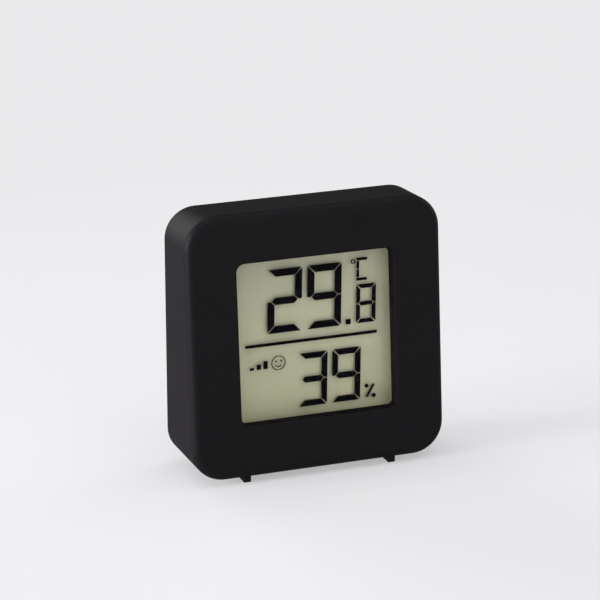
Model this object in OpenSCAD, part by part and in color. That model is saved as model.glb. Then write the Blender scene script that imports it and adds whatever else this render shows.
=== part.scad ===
// Square desk thermo-hygrometer: a leaning black case with a recessed liquid-crystal display,
// one AAA cell behind a hinged door, a unit button on the back and a keyhole to hang it by.
// Millimetres, +Z up, the display faces -Y. The origin is on the table, under the middle of the case.

/* [Case] */
// Width of the case
case_w = 60; // [59:1:80]
// Height of the front face, measured along its slope
face_h = 60; // [60:1:80]
// Depth of the case at its base, front to back
base_d = 20; // [20:0.5:28]
// Degrees by which the front face leans back
lean = 5; // [3:0.5:6]
// Radius of the case corners at the front
front_corner_r = 7.5; // [6:0.5:10]
// Radius of the case corners at the back
back_corner_r = 7; // [5:0.5:9]
// Radius of the rounded edge round the front face
front_round = 2; // [1:0.1:2.4]
// Radius of the rounded edge round the back rim
back_round = 0.8; // [0.4:0.1:1]
// Thickness of the side walls
side_wall = 2; // [1.8:0.1:2.4]
// Thickness of the front wall, which is also the depth of the window recess
front_wall = 2.3; // [2:0.1:2.6]
// Thickness of the rim left round the rear cover
rim_t = 1.2; // [1:0.1:1.4]

/* [Feet] */
// Height of the two skid rails under the case
foot_h = 1.3; // [1:0.1:3]
// Width of a rail
foot_w = 1.6; // [1:0.1:4]
// Distance between the centre lines of the rails
foot_span = 34.6; // [24:0.2:40]
// Setback of the rails' front ends from the lower edge of the face
foot_front = 1.1; // [0.9:0.1:4]
// Setback of the rails' back ends from the back of the base
foot_back = 2.6; // [2:0.1:5]
// Chamfer at the rails' front ends
foot_nose = 0.3; // [0.1:0.1:0.6]

/* [Window] */
// Width of the window at the front face
window_w = 37; // [32:0.5:38]
// Height of the window at the front face
window_h = 37; // [32:0.5:38]
// Corner radius of the window
window_r = 2; // [1:0.1:3]
// How much each side of the window closes in from the front to the bottom of the recess
window_draft = 0.2; // [0.1:0.1:0.8]
// Height of the window's centre above the middle of the face
window_rise = 0.4; // [0:0.1:1]

/* [Display] */
// Thickness of the adhesive tape behind the window
tape_t = 0.15; // [0.1:0.05:0.3]
// Thickness of the clear lens
lens_t = 0.8; // [0.6:0.1:1.2]
// Thickness of the foam gasket between the lens and the display
gasket_t = 0.15; // [0.1:0.05:0.3]
// Thickness of the polarising films
film_t = 0.2; // [0.1:0.05:0.3]
// Thickness of each glass plate
glass_t = 0.7; // [0.5:0.1:1]
// Gap between the glass plates, filled by the segments and the seal
cell_gap = 0.1; // [0.05:0.05:0.2]
// Overlap of the glass past the window on each side
glass_over = 1.3; // [1:0.1:1.6]
// Height of the contact ledge on the front glass
ledge_h = 2.8; // [2.4:0.1:3.2]
// Width of the seal line between the glass plates
seal_w = 0.8; // [0.5:0.1:1]
// Wall of the frame round the display
frame_wall = 1.2; // [1:0.1:1.4]
// Space between the back of the display and the circuit board
board_gap = 1.7; // [1.5:0.1:2.2]

/* [Digits] */
// Tens of the temperature
temp_tens = 2; // [0:1:9]
// Units of the temperature
temp_units = 9; // [0:1:9]
// Tenths of the temperature
temp_tenths = 8; // [0:1:9]
// Tens of the humidity
humid_tens = 3; // [0:1:9]
// Units of the humidity
humid_units = 9; // [0:1:9]
// Height of the temperature digits
temp_digit_h = 14.5; // [12:0.1:15]
// Width of the temperature digits
temp_digit_w = 8.1; // [6:0.1:8.4]
// Step from one temperature digit to the next
temp_pitch = 9.4; // [9:0.1:9.8]
// Height of the tenths digit
tenth_digit_h = 8.9; // [7:0.1:9]
// Width of the tenths digit
tenth_digit_w = 4.7; // [3.5:0.1:5]
// Height of the humidity digits
humid_digit_h = 12.3; // [10:0.1:12.8]
// Width of the humidity digits
humid_digit_w = 6.8; // [5:0.1:7]
// Step from one humidity digit to the next
humid_pitch = 8; // [7.5:0.1:8.6]
// Stroke of a segment as a share of its digit's width
stroke_share = 0.2; // [0.14:0.01:0.24]
// Gap between neighbouring segments
segment_gap = 0.2; // [0.1:0.05:0.3]
// Slant of the digits in degrees
digit_slant = 2.5; // [0:0.1:8]
// Length of the line between the two readings
divider_len = 31.4; // [24:0.2:33]
// Thickness of the line between the two readings
divider_t = 0.7; // [0.4:0.1:1]

/* [Board] */
// Thickness of the circuit board
board_t = 1.2; // [0.8:0.1:1.6]
// Clearance between the board and the case walls
board_clear = 1; // [0.6:0.1:1.5]
// Radius of the posts that carry the board
post_r = 1.9; // [1.6:0.1:2.2]
// Radius of the holes in the board for its screws
board_hole_r = 1.1; // [1:0.05:1.2]
// Height of the tact switch housing above the board
switch_h = 3.5; // [3:0.1:4]
// Side of the square tact switch housing
switch_w = 6; // [5:0.1:6.5]
// Reach of the tact switch's plunger above the board
plunger_reach = 5; // [4.4:0.1:5.2]
// Radius of the tact switch's plunger
plunger_r = 1.7; // [1.2:0.1:1.9]

/* [Unit button] */
// Radius of the button's cap
button_r = 3; // [2.5:0.1:3.4]
// Travel of the button
button_travel = 0.6; // [0.3:0.1:0.7]
// Distance of the button from the middle of the case
button_x = 16; // [12:0.5:17]
// Height of the button above the table
button_z = 33; // [31.5:0.5:35]
// Depth of the button's cap below the back of the cover
button_sink = 0.3; // [0.1:0.1:0.5]

/* [Battery] */
// Diameter of the AAA cell
cell_d = 10.5; // [10.1:0.1:10.6]
// Length of the AAA cell over its terminal
cell_len = 44.5; // [43.8:0.1:44.7]
// Clearance round the cell in its bay
bay_clear = 0.25; // [0.2:0.05:0.35]
// Wall of the battery bay
bay_wall = 0.9; // [0.8:0.1:1]
// Space between the bay and the inside of the case
bay_gap = 0.3; // [0.3:0.1:1]
// Thickness of the contact plates
contact_t = 0.4; // [0.3:0.05:0.5]
// Side of the square contact plates
contact_w = 7.6; // [6.6:0.1:7.8]
// Length of the compressed contact spring
spring_len = 4.7; // [4.2:0.1:5]
// Diameter of the spring's wire
spring_wire = 0.6; // [0.5:0.05:0.6]
// Radius of the spring's first turn, on the contact plate
spring_base_r = 3.3; // [3:0.1:3.4]
// Radius of the spring's last turn, on the cell
spring_tip_r = 1.9; // [1.6:0.1:2]
// Turns of the spring
spring_turns = 3; // [2:1:3]
// Diameter of the battery leads over their insulation
lead_d = 1; // [0.8:0.1:1.2]

/* [Rear cover] */
// Thickness of the rear cover
cover_t = 2; // [1.9:0.1:2.4]
// Gap between the cover and the rim of the case
cover_gap = 0.1; // [0.05:0.05:0.2]
// Radius of the keyhole's entry for the head of a wall screw
keyhole_r = 3.5; // [3:0.1:3.8]
// Width of the keyhole's slot for the shank of a wall screw
keyhole_slot_w = 3.6; // [3:0.1:3.8]
// Rise of the keyhole's slot above its entry
keyhole_rise = 5; // [4:0.5:6]
// Distance of the keyhole's entry below the top of the back
keyhole_drop = 11.5; // [11:0.5:14]
// Width of a vent slot
vent_w = 1.2; // [0.8:0.1:1.4]
// Height of the vent slots
vent_h = 9; // [6:0.5:10]
// Step from one vent slot to the next
vent_pitch = 2.6; // [2.2:0.1:2.8]
// Number of vent slots
vent_count = 5; // [3:1:6]

/* [Battery door] */
// Thickness of the door's plate
door_t = 1.4; // [1.2:0.1:1.6]
// Gap between the door and the edges of the bay
door_gap = 0.15; // [0.1:0.05:0.25]
// Radius of the rounded hinge edge of the door
barrel_r = 1; // [0.9:0.05:1.1]
// Radius of the stub axles at the ends of the hinge edge
axle_r = 0.6; // [0.5:0.05:0.65]
// Length of the stub axles inside the cover
axle_len = 0.9; // [0.7:0.1:1.2]
// Running clearance round the axles
axle_clear = 0.05; // [0.03:0.01:0.1]
// Width of the door's latch
latch_w = 9; // [6:0.5:12]

/* [Screws] */
// Radius of the case screws' shanks
case_screw_r = 1; // [0.9:0.05:1.1]
// Radius of the case screws' heads
case_head_r = 1.9; // [1.7:0.05:2]
// Height of the case screws' heads
case_head_h = 1.2; // [1:0.1:1.3]
// Length of the case screws under their heads
case_screw_len = 6; // [5:0.5:7]
// Radius of the bosses for the case screws
boss_r = 2.3; // [2.1:0.1:2.4]
// Distance of the case screws from the sides and the top of the case
screw_inset = 5.4; // [5.2:0.1:5.8]
// Radius of the board screws' shanks
board_screw_r = 0.85; // [0.7:0.05:0.9]
// Radius of the board screws' heads
board_head_r = 1.7; // [1.5:0.05:1.9]
// Height of the board screws' heads
board_head_h = 1.1; // [0.8:0.1:1.2]
// Length of the board screws under their heads
board_screw_len = 4.5; // [4:0.1:4.8]
// Clearance of a screw in its pilot hole
pilot_clear = 0.03; // [0.02:0.01:0.06]

/* [Hidden] */

$fn = 64;
hull_fn = 32;
// How far a cut runs past the face that it opens
eps = 0.01;
// Thickness of the discs that the hulls span
ring_t = 0.01;
round_steps = 6;

// The face frame: x to the right, y into the case, z up along the front face from its lower edge
back_y = base_d / 2;
front_y = -base_d / 2 - front_round * sin(lean);
face_z0 = foot_h + front_round * sin(lean);
function face_up(z, v) = (z - face_z0 + v * sin(lean)) / cos(lean);
function world_y(v, zf) = front_y + v * cos(lean) + zf * sin(lean);
function world_z(v, zf) = face_z0 + zf * cos(lean) - v * sin(lean);
function to_world(p) = [p[0], world_y(p[1], p[2]), world_z(p[1], p[2])];

// The back outline, upright at back_y
back_top_v = (back_y - front_y - face_h * sin(lean)) / cos(lean);
back_top_z = world_z(back_top_v, face_h);
back_h = back_top_z - foot_h;
back_mid_z = foot_h + back_h / 2;
cover_in_y = back_y - cover_t;

// Layers behind the front face
window_z = face_h / 2 + window_rise;
tape_v = front_wall;
lens_v = tape_v + tape_t;
gasket_v = lens_v + lens_t;
film_v = gasket_v + gasket_t;
glass_v = film_v + film_t;
segment_v = glass_v + glass_t;
rear_glass_v = segment_v + cell_gap;
reflector_v = rear_glass_v + glass_t;
lcd_back_v = reflector_v + film_t;
board_v = lcd_back_v + board_gap;
board_back_v = board_v + board_t;

// Outlines of the display stack on the face
open_w = window_w - 2 * window_draft;
open_h = window_h - 2 * window_draft;
glass_w = window_w + 2 * glass_over;
glass_h = window_h + 2 * glass_over;
front_glass_h = glass_h + ledge_h;
front_glass_z = window_z + ledge_h / 2;
frame_clear = 0.15;
frame_w = glass_w + 2 * (frame_clear + frame_wall);
frame_h = front_glass_h + 2 * (frame_clear + frame_wall);
lens_setback = 0.3;
lens_w = frame_w - 2 * lens_setback;
lens_h = frame_h - 2 * lens_setback;
lens_r = 1.5;
film_inset = 0.3;
ring_inset = 0.3;
gasket_r = 0.8;
zebra_w = 1.8;
zebra_inset = 2.5;
zebra_len = glass_w - 2 * zebra_inset;
zebra_z = front_glass_z + front_glass_h / 2 - ledge_h / 2;

// The battery bay, upright behind the lower part of the display
bay_r = cell_d / 2 + bay_clear;
bay_half = cell_len / 2 + spring_len / 2 + contact_t;
inner_corner_r = max(front_corner_r, back_corner_r) - side_wall;
corner_start = case_w / 2 - side_wall - inner_corner_r;
corner_reach = min(max(bay_half + bay_wall + bay_gap - corner_start, 0), inner_corner_r);
corner_lift = inner_corner_r - sqrt(pow(inner_corner_r, 2) - pow(corner_reach, 2));
bay_z0 = foot_h + side_wall + corner_lift + bay_gap + bay_wall;
cell_z = bay_z0 + bay_r;
cell_y = back_y - door_t - bay_r;
bay_top = cell_z + bay_r + bay_wall;
nub_len = 0.9;
nub_r = 1.9;
cell_end_x = bay_half - contact_t - nub_len;
cell_start_x = -bay_half + contact_t + spring_len;

// The door's hinge
hinge_y = back_y - barrel_r;
hinge_z = bay_z0 + door_gap + barrel_r;
door_half = bay_half - door_gap;
door_top = cell_z + bay_r - door_gap;

// Fixings
screw_x = case_w / 2 - screw_inset;
screw_top_z = back_top_z - screw_inset;
screw_gap = 3.7;
screw_low_z = bay_top + screw_gap + boss_r;
head_room = 0.1;
head_clear = 0.25;

// The circuit board on the face
board_edge_gap = 0.6;
board_margin = 1.2;
board_half = case_w / 2 - side_wall - board_clear;
board_low = face_up(screw_low_z + boss_r + board_edge_gap, board_back_v);
board_mid = face_up(screw_top_z - boss_r - board_edge_gap, board_v);
board_top = zebra_z + zebra_w / 2 + board_margin;
post_x = board_half - post_r;
post_inset = 3;
post_zs = [board_low + post_inset, board_mid - post_inset];
board_rise = (board_low + board_mid) / 2;

// Places of the pieces on the board
blob_x = -1.5;
crystal_x = 7;
crystal_up = 5;
chips_x = -9;
chips_up = 3;
chip_step = 2.8;
chip_count = 6;
sensor_x = -15.5;
sensor_drop = 8;
sensor_zf = board_mid - sensor_drop;
sensor_z = world_z(board_back_v, sensor_zf);
bead_step = 8.5;

// The unit button and its switch
plunger_tip_v = board_back_v + plunger_reach;
switch_zf = face_up(button_z, plunger_tip_v);
plunger_tip_y = world_y(plunger_tip_v, switch_zf);
button_gap = 0.2;
flange_gap = 0.05;
flange_t = 0.8;
flange_over = 0.9;
hole_gap = 0.12;

module on_face() {
    translate([0, front_y, face_z0])
        rotate([-lean, 0, 0])
            children();
}

// Extrudes a drawing of x and z from one depth to another
module slab(from, to) {
    translate([0, to, 0])
        rotate([90, 0, 0])
            linear_extrude(to - from)
                children();
}

// Lays a cylinder along y
module bar_y(x, z, from, to, r) {
    translate([x, to, z])
        rotate([90, 0, 0])
            cylinder(r = r, h = to - from);
}

// Lays a cylinder along x
module bar_x(y, z, from, to, r) {
    translate([from, y, z])
        rotate([0, 90, 0])
            cylinder(r = r, h = to - from);
}

module rounded_rect(w, h, r) {
    square([w - 2 * r, h], center = true);
    square([w, h - 2 * r], center = true);
    for (x = [-1, 1], z = [-1, 1])
        translate([x * (w / 2 - r), z * (h / 2 - r)])
            circle(r);
}

module rounded_ring(w, h, r, rim) {
    least_r = 0.2;
    difference() {
        rounded_rect(w, h, r);
        rounded_rect(w - 2 * rim, h - 2 * rim, max(r - rim, least_r));
    }
}

// Four thin discs at the corners of a rounded rectangle, for a hull to span
module corner_discs(w, h, r, depth, mid) {
    for (x = [-1, 1], z = [-1, 1])
        translate([x * (w / 2 - r), depth + ring_t, mid + z * (h / 2 - r)])
            rotate([90, 0, 0])
                cylinder(r = r, h = ring_t, $fn = hull_fn);
}

// One tube along a path, with rings carried along it without twist. The first ring starts at the
// direction given, which lies across the start of the path.
function unit(v) = v / norm(v);
function heading(path, i) = unit(path[min(i + 1, len(path) - 1)] - path[max(i - 1, 0)]);
function square_to(n, t) = unit(n - (n * t) * t);
function ring_normals(path, first) = [
    for (i = 0, n = square_to(first, heading(path, 0));
         i < len(path);
         i = i + 1, n = i < len(path) ? square_to(n, heading(path, i)) : n) n
];

module tube(path, r, sides, first) {
    normals = ring_normals(path, first);
    last = (len(path) - 1) * sides;
    points = [
        for (i = [0 : len(path) - 1], k = [0 : sides - 1])
            path[i] + r * (cos(360 * k / sides) * normals[i]
                + sin(360 * k / sides) * cross(heading(path, i), normals[i]))
    ];
    walls = [
        for (i = [0 : len(path) - 2], k = [0 : sides - 1], half = [0, 1])
            let (a = i * sides + k, b = i * sides + (k + 1) % sides)
                half == 0 ? [a, a + sides, b] : [b, a + sides, b + sides]
    ];
    caps = [
        for (k = [1 : sides - 2], end = [0, 1])
            end == 0 ? [0, k, k + 1] : [last, last + k + 1, last + k]
    ];
    polyhedron(points, concat(walls, caps));
}

// The case: front and back outlines joined by straight walls, with both edges rounded

module case_solid() {
    hull() {
        on_face()
            for (i = [0 : round_steps]) {
                a = 90 * i / round_steps;
                inset = front_round * (1 - sin(a));
                corner_discs(case_w - 2 * inset, face_h - 2 * inset, front_corner_r - inset,
                    front_round * (1 - cos(a)), face_h / 2);
            }
        for (i = [0 : round_steps / 2]) {
            a = 180 * i / round_steps;
            inset = back_round * (1 - cos(a));
            corner_discs(case_w - 2 * inset, back_h - 2 * inset, back_corner_r - inset,
                back_y - ring_t - back_round * (1 - sin(a)), back_mid_z);
        }
    }
}

module case_hollow() {
    hull() {
        on_face()
            corner_discs(case_w - 2 * side_wall, face_h - 2 * side_wall, front_corner_r - side_wall,
                front_wall, face_h / 2);
        corner_discs(case_w - 2 * side_wall, back_h - 2 * side_wall, back_corner_r - side_wall,
            cover_in_y, back_mid_z);
    }
}

// The window's walls keep their draft where the cut runs out in front of the face
module window_cut() {
    overrun = 0.02;
    spread = 2 * overrun * window_draft;
    hull() {
        corner_discs(window_w + spread, window_h + spread, window_r, -overrun * front_wall, window_z);
        corner_discs(open_w, open_h, window_r - window_draft, front_wall, window_z);
    }
}

module rails() {
    from = front_y + foot_front;
    to = back_y - foot_back;
    for (side = [-1, 1])
        translate([side * foot_span / 2 - foot_w / 2, 0, 0])
            rotate([90, 0, 90])
                linear_extrude(foot_w)
                    polygon([[from, foot_h + side_wall / 2], [from, foot_nose], [from + foot_nose, 0],
                        [to - foot_h / 2, 0], [to, foot_h / 2], [to, foot_h + side_wall / 2]]);
}

module at_case_screws() {
    for (side = [-1, 1], z = [screw_low_z, screw_top_z])
        translate([side * screw_x, 0, z])
            children();
}

module case_boss() {
    difference() {
        bar_y(0, 0, front_y, cover_in_y, boss_r);
        bar_y(0, 0, cover_in_y - case_screw_len, cover_in_y + eps, case_screw_r + pilot_clear);
    }
}

module at_posts() {
    for (side = [-1, 1], z = post_zs)
        translate([side * post_x, 0, z])
            children();
}

module board_post() {
    difference() {
        bar_y(0, 0, front_wall / 2, board_v, post_r);
        bar_y(0, 0, board_back_v - board_screw_len - eps, board_v + eps, board_screw_r + pilot_clear);
    }
}

// A low rib on the inside of the front wall, round the display's frame
module frame_rib() {
    rib_t = 0.8;
    rib_h = 1.9;
    rib_w = frame_w + 2 * (frame_clear + rib_t);
    rib_l = frame_h + 2 * (frame_clear + rib_t);
    translate([0, 0, front_glass_z])
        slab(front_wall / 2, front_wall + rib_h)
            rounded_ring(rib_w, rib_l, frame_wall + frame_clear + rib_t, rib_t);
}

module front_case() {
    color("#1d1c1f") {
        difference() {
            case_solid();
            case_hollow();
            translate([0, 0, back_mid_z])
                slab(cover_in_y, back_y + eps)
                    rounded_rect(case_w - 2 * rim_t, back_h - 2 * rim_t, back_corner_r - rim_t);
            on_face()
                window_cut();
        }
        rails();
        intersection() {
            at_case_screws()
                case_boss();
            on_face()
                translate([-case_w / 2, front_wall / 2, 0])
                    cube([case_w, base_d, face_h]);
        }
        on_face() {
            at_posts()
                board_post();
            frame_rib();
        }
    }
}

// The display stack

module face_plate(from, to, mid) {
    on_face()
        translate([0, 0, mid])
            slab(from, to)
                children();
}

module lens_tape() {
    color("#2b2b2b")
        face_plate(tape_v, lens_v, front_glass_z)
            difference() {
                rounded_rect(lens_w - 2 * ring_inset, lens_h - 2 * ring_inset, lens_r);
                translate([0, window_z - front_glass_z])
                    rounded_rect(open_w + 2 * ring_inset, open_h + 2 * ring_inset, window_r);
            }
}

module display_lens() {
    color("#dfe6e6", 0.25)
        face_plate(lens_v, gasket_v, front_glass_z)
            rounded_rect(lens_w, lens_h, lens_r);
}

module display_gasket() {
    color("#26262a")
        face_plate(gasket_v, film_v, window_z)
            rounded_ring(glass_w - 2 * film_inset, glass_h - 2 * film_inset, gasket_r,
                glass_over - film_inset);
}

module front_polariser() {
    color("#b9bba6", 0.4)
        face_plate(film_v, glass_v, window_z)
            square([glass_w - 2 * film_inset, glass_h - 2 * film_inset], center = true);
}

module front_glass() {
    color("#d5dcd4", 0.4)
        face_plate(glass_v, segment_v, front_glass_z)
            square([glass_w, front_glass_h], center = true);
}

// Seven-segment digits: the bars a to g, as outlines in a box of the digit's width and height
lit = [[1, 1, 1, 1, 1, 1, 0], [0, 1, 1, 0, 0, 0, 0], [1, 1, 0, 1, 1, 0, 1], [1, 1, 1, 1, 0, 0, 1],
    [0, 1, 1, 0, 0, 1, 1], [1, 0, 1, 1, 0, 1, 1], [1, 0, 1, 1, 1, 1, 1], [1, 1, 1, 0, 0, 0, 0],
    [1, 1, 1, 1, 1, 1, 1], [1, 1, 1, 1, 0, 1, 1]];

function top_bar(w, h, s, g) = [[g, h], [w - g, h], [w - g - s, h - s], [g + s, h - s]];
function side_bar(w, h, s, g) = [[w, h - g], [w, h / 2 + g / 2], [w - s / 2, h / 2 + g / 2],
    [w - s, h / 2 + s / 2 + g / 2], [w - s, h - s - g]];
function middle_bar(w, h, s, g) = [[s / 2 + g, h / 2], [s + g, h / 2 + s / 2], [w - s - g, h / 2 + s / 2],
    [w - s / 2 - g, h / 2], [w - s - g, h / 2 - s / 2], [s + g, h / 2 - s / 2]];
function flip_x(points, w) = [for (p = points) [w - p[0], p[1]]];
function flip_z(points, h) = [for (p = points) [p[0], h - p[1]]];
function bars(w, h, s, g) = [
    top_bar(w, h, s, g),
    side_bar(w, h, s, g),
    flip_z(side_bar(w, h, s, g), h),
    flip_z(top_bar(w, h, s, g), h),
    flip_z(flip_x(side_bar(w, h, s, g), w), h),
    flip_x(side_bar(w, h, s, g), w),
    middle_bar(w, h, s, g)
];
function slanted(points) = [for (p = points) [p[0] + p[1] * tan(digit_slant), p[1]]];

module digit(value, w, h) {
    outlines = bars(w, h, stroke_share * w, segment_gap);
    for (k = [0 : 6])
        if (lit[value][k] == 1)
            polygon(slanted(outlines[k]));
}

// Places of the digits on the display, from the middle of the window
temp_right = 7.1;
tenth_left = 10.7;
humid_right = 11.2;
divider_z = -1.5;
temp_lift = 2.4;
humid_drop = 3;
temp_base = divider_z + temp_lift;
humid_base = divider_z - humid_drop - humid_digit_h;
point_w = 1.2;

module readings() {
    translate([temp_right - temp_pitch - temp_digit_w, temp_base])
        digit(temp_tens, temp_digit_w, temp_digit_h);
    translate([temp_right - temp_digit_w, temp_base])
        digit(temp_units, temp_digit_w, temp_digit_h);
    translate([tenth_left, temp_base])
        digit(temp_tenths, tenth_digit_w, tenth_digit_h);
    translate([(temp_right + tenth_left - point_w) / 2, temp_base])
        square([point_w, point_w]);
    translate([humid_right - humid_pitch - humid_digit_w, humid_base])
        digit(humid_tens, humid_digit_w, humid_digit_h);
    translate([humid_right - humid_digit_w, humid_base])
        digit(humid_units, humid_digit_w, humid_digit_h);
    translate([0, divider_z])
        square([divider_len, divider_t], center = true);
}

// Small signs beside the readings, in thinner lines: the temperature's unit, the percent sign, a comfort
// face and level bars. Each outline starts at its sign's own place.
sign_line = 0.6;
sign_gap = 0.15;
unit_at = [11.1, 10.7];
unit_w = 2.5;
unit_h = 5.2;
degree_at = [10.4, 15.2];
degree_r = 0.42;
degree_line = 0.26;
percent_at = [12.5, -16.55];
percent_w = 2.3;
percent_h = 2.9;
percent_dot_r = 0.5;
face_at = [-8, -5.95];
face_r = 1.6;
face_line = 0.2;
eye_spread = 0.6;
eye_rise = 0.4;
eye_r = 0.22;
mouth_r = 0.85;
mouth_angle = 110;
level_at = [-14.8, -7];
level_w = 1;
level_step = 1.6;
level_rise = 0.6;
level_count = 3;
// A ring is two arcs of this angle, with a gap between their ends
half_ring = 170;
arc_steps = 12;
dot_steps = 16;

function bar(x, z, w, h) = [[x, z], [x + w, z], [x + w, z + h], [x, z + h]];
function turn(r, angle) = r * [cos(angle), sin(angle)];
function arc(r, line, middle, angle) = concat(
    [for (i = [0 : arc_steps]) turn(r + line / 2, middle + angle * (i / arc_steps - 0.5))],
    [for (i = [arc_steps : -1 : 0]) turn(r - line / 2, middle + angle * (i / arc_steps - 0.5))]);
function dot(x, z, r) = [for (k = [0 : dot_steps - 1]) [x, z] + turn(r, 360 * k / dot_steps)];

module sign(at, points) {
    translate(at)
        polygon(slanted(points));
}

module signs() {
    stem_h = unit_h / 2 - sign_line - 1.5 * sign_gap;
    for (z = [0, unit_h - sign_line])
        sign(unit_at, bar(0, z, unit_w, sign_line));
    for (z = [sign_line + sign_gap, unit_h / 2 + sign_gap / 2])
        sign(unit_at, bar(0, z, sign_line, stem_h));
    for (side = [0, 180]) {
        sign(degree_at, arc(degree_r, degree_line, side, half_ring));
        sign(face_at, arc(face_r, face_line, side, half_ring));
    }
    sign(percent_at, [[0, 0], [sign_line, 0], [percent_w, percent_h], [percent_w - sign_line, percent_h]]);
    sign(percent_at, dot(percent_dot_r / 2, percent_h - percent_dot_r / 2, percent_dot_r));
    sign(percent_at, dot(percent_w - percent_dot_r / 2, percent_dot_r / 2, percent_dot_r));
    for (side = [-1, 1])
        sign(face_at, dot(side * eye_spread, eye_rise, eye_r));
    sign(face_at, arc(mouth_r, face_line, 270, mouth_angle));
    for (k = [0 : level_count - 1])
        sign(level_at, bar(k * level_step, 0, level_w, (k + 1) * level_rise));
}

module lcd_segments() {
    color("#14141f")
        face_plate(segment_v, rear_glass_v, window_z) {
            readings();
            signs();
        }
}

module glass_seal() {
    color("#c9c9bd")
        face_plate(segment_v, rear_glass_v, window_z)
            difference() {
                square([glass_w, glass_h], center = true);
                square([glass_w - 2 * seal_w, glass_h - 2 * seal_w], center = true);
            }
}

module rear_glass() {
    color("#d5dcd4", 0.4)
        face_plate(rear_glass_v, reflector_v, window_z)
            square([glass_w, glass_h], center = true);
}

module reflector() {
    color("#9d9d84")
        face_plate(reflector_v, lcd_back_v, window_z)
            square([glass_w - 2 * film_inset, glass_h - 2 * film_inset], center = true);
}

// The frame is as deep as the board allows, but over the battery bay only as deep as the display
module display_frame() {
    bar_h = 2.5;
    low = front_glass_z - front_glass_h / 2 - frame_clear - frame_wall;
    step = board_low - bar_h / 2;
    opening_w = glass_w - 2 * frame_wall;
    opening_h = window_z + glass_h / 2 - frame_wall - step - bar_h;
    slot_w = zebra_len + 2 * frame_clear;
    slot_h = zebra_w + 2 * frame_clear;
    cut_depth = board_gap + 2 * eps;
    color("#e4e3dc")
        on_face()
            difference() {
                translate([0, 0, front_glass_z])
                    slab(gasket_v, board_v)
                        rounded_rect(frame_w, frame_h, frame_wall);
                translate([0, 0, front_glass_z])
                    slab(gasket_v - eps, lcd_back_v)
                        square([glass_w + 2 * frame_clear, front_glass_h + 2 * frame_clear], center = true);
                translate([-frame_w, lcd_back_v, low - eps])
                    cube([2 * frame_w, cut_depth, step - low]);
                translate([-opening_w / 2, lcd_back_v - eps, step + bar_h])
                    cube([opening_w, cut_depth, opening_h]);
                translate([-slot_w / 2, lcd_back_v - eps, zebra_z - slot_h / 2])
                    cube([slot_w, cut_depth, slot_h]);
            }
}

module zebra_strip() {
    color("#d9d4cf")
        on_face()
            translate([-zebra_len / 2, segment_v, zebra_z - zebra_w / 2])
                cube([zebra_len, board_v - segment_v, zebra_w]);
}

// The circuit board and what is soldered to its back

module board_outline() {
    difference() {
        union() {
            translate([-board_half, board_low])
                square([2 * board_half, board_mid - board_low]);
            translate([-frame_w / 2, board_mid - eps])
                square([frame_w, board_top - board_mid + eps]);
        }
        for (side = [-1, 1], z = post_zs)
            translate([side * post_x, z])
                circle(board_hole_r);
    }
}

module main_board() {
    color("#1f5a3a")
        on_face()
            slab(board_v, board_back_v)
                board_outline();
}

// A screw that points along -y, its head's seat at y = 0
module screw(shank_r, shank_len, head_r, head_h) {
    slot_len = head_r * 1.2;
    slot_w = head_r * 0.3;
    slot_deep = head_h * 0.6;
    difference() {
        bar_y(0, 0, 0, head_h, head_r);
        for (turn = [0, 90])
            rotate([0, turn, 0])
                translate([-slot_len / 2, head_h - slot_deep, -slot_w / 2])
                    cube([slot_len, slot_deep + eps, slot_w]);
    }
    bar_y(0, 0, -shank_len, 0, shank_r);
}

module board_screws() {
    color("#b8b9bd")
        on_face()
            at_posts()
                translate([0, board_back_v, 0])
                    screw(board_screw_r, board_screw_len, board_head_r, board_head_h);
}

// Stands a piece on the back of the board, at a place [x, height along the face]
module on_board(at) {
    on_face()
        translate([at[0], board_back_v, at[1]])
            children();
}

module chip_blob() {
    blob_r = 4.5;
    blob_h = 1.3;
    steps = 6;
    dome = [for (i = [0 : steps]) [blob_r * cos(90 * i / steps), blob_h * sin(90 * i / steps)]];
    color("#0e0e10")
        on_board([blob_x, board_rise])
            rotate([-90, 0, 0])
                rotate_extrude()
                    polygon(concat([[0, 0]], dome));
}

module crystal() {
    can_r = 1;
    can_len = 6;
    color("#c9cacd")
        on_board([crystal_x, board_rise + crystal_up])
            translate([0, can_r, 0])
                bar_x(0, 0, -can_len / 2, can_len / 2, can_r);
}

module board_parts() {
    chip_len = 1.6;
    chip_w = 0.8;
    chip_h = 0.8;
    color("#a98b62")
        for (k = [0 : chip_count - 1])
            on_board([chips_x + k * chip_step, board_low + chips_up])
                translate([-chip_len / 2, 0, -chip_w / 2])
                    cube([chip_len, chip_h, chip_w]);
}

module humidity_sensor() {
    plate_w = 10;
    plate_h = 6;
    plate_t = 0.8;
    lift = 1.2;
    leg_w = 0.6;
    color("#e9e7df")
        on_board([sensor_x, sensor_zf]) {
            translate([-plate_w / 2, lift, -plate_h / 2])
                cube([plate_w, plate_t, plate_h]);
            for (side = [-1, 1])
                translate([side * plate_w / 4 - leg_w / 2, 0, -plate_h / 2])
                    cube([leg_w, lift + eps, leg_w]);
        }
}

module thermistor() {
    bead_r = 1.1;
    lift = 2.6;
    leg_r = 0.25;
    leg_step = 0.55;
    color("#39424f")
        on_board([sensor_x + bead_step, sensor_zf]) {
            translate([0, lift, 0])
                sphere(bead_r);
            for (side = [-1, 1])
                bar_y(side * leg_step, 0, 0, lift, leg_r);
        }
}

module tact_switch() {
    pocket_clear = 0.2;
    color("#2a2a2c")
        on_board([button_x, switch_zf])
            difference() {
                translate([-switch_w / 2, 0, -switch_w / 2])
                    cube([switch_w, switch_h, switch_w]);
                bar_y(0, 0, switch_h - 2 * button_travel, switch_h + eps, plunger_r + pocket_clear);
            }
}

module switch_plunger() {
    color("#c8b48a")
        on_board([button_x, switch_zf])
            bar_y(0, 0, switch_h - button_travel / 2, plunger_reach, plunger_r);
}

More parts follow.
